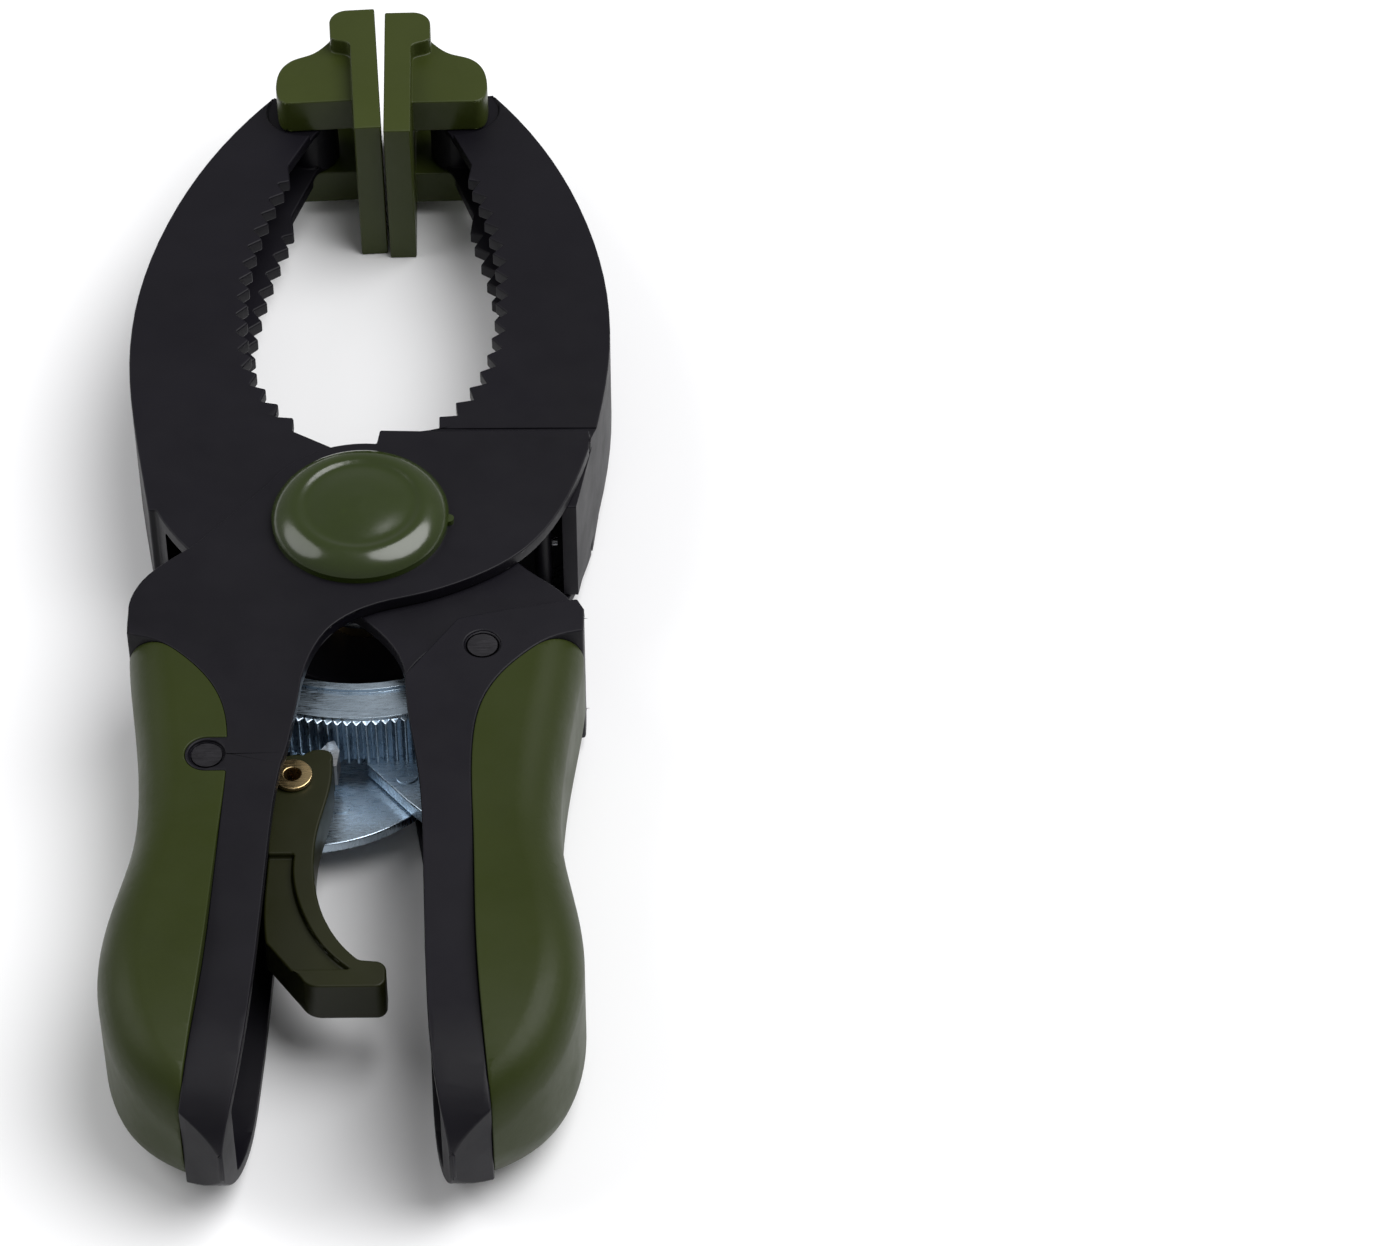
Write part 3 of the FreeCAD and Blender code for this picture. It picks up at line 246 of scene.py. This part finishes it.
# how far each piece's edges are rounded, in metres
EDGES = {"arm_left_handle": 0.00025, "arm_right_handle": 0.00035, "pad_right": 0.0003,
         "pad_left": 0.0003, "ratchet_sector": 0.00012, "sector_plate": 0.0003,
         "carrier_plate": 0.0003, "release_trigger": 0.0004, "pivot_nut": 0.0003,
         "trigger_pin": 0.0002, "grip_left": 0.0003, "grip_right": 0.0003}
for node, width in EDGES.items():
    finished(node, width)

for node, obj in frame["nodes"].items():
    obj.data.materials.clear()
    obj.data.materials.append(materials[node_slot[node]])

# ---- floor ----
floor_mesh = bpy.data.meshes.new("floor")
FLOOR_CORNERS = [(-4, -3, 0), (4, -3, 0), (4, 5, 0), (-4, 5, 0)]
floor_mesh.from_pydata(FLOOR_CORNERS, [], [(0, 1, 2, 3)])
floor = bpy.data.objects.new("floor", floor_mesh)
collection.objects.link(floor)
FLOOR_TONES = [(0.3, (0.86, 0.86, 0.87)), (0.7, (0.90, 0.90, 0.91))]
paper = Nodes("floor")
paper_tone = paper.colours(paper.noise(6.0, 4.0), FLOOR_TONES)
paper_grain = paper.bump(paper.noise(900.0), 0.05, 0.0001)
floor_mesh.materials.append(paper.finish(paper_tone, None, paper_grain, Roughness=0.6))


# ---- light ----
def soft_light(name, place, size, power, target=(0.0, 0.0, 0.0)):
    data = bpy.data.lights.new(name, "AREA")
    data.shape = "DISK"
    data.size = size
    data.energy = power
    light = bpy.data.objects.new(name, data)
    light.location = place
    light.rotation_euler = (Vector(target) - Vector(place)).to_track_quat("-Z", "Y").to_euler()
    collection.objects.link(light)


soft_light("key", (0.65, 0.05, 1.15), 1.3, 21.0)
soft_light("fill", (-0.9, 0.1, 0.8), 1.0, 6.0)
WORLD_STRENGTH = 0.29
world = bpy.data.worlds.new("studio")
world.use_nodes = True
background = world.node_tree.nodes["Background"]
background.inputs["Color"].default_value = (1.0, 1.0, 1.0, 1.0)
background.inputs["Strength"].default_value = WORLD_STRENGTH
bpy.context.scene.world = world
bpy.context.scene.view_settings.view_transform = "Standard"
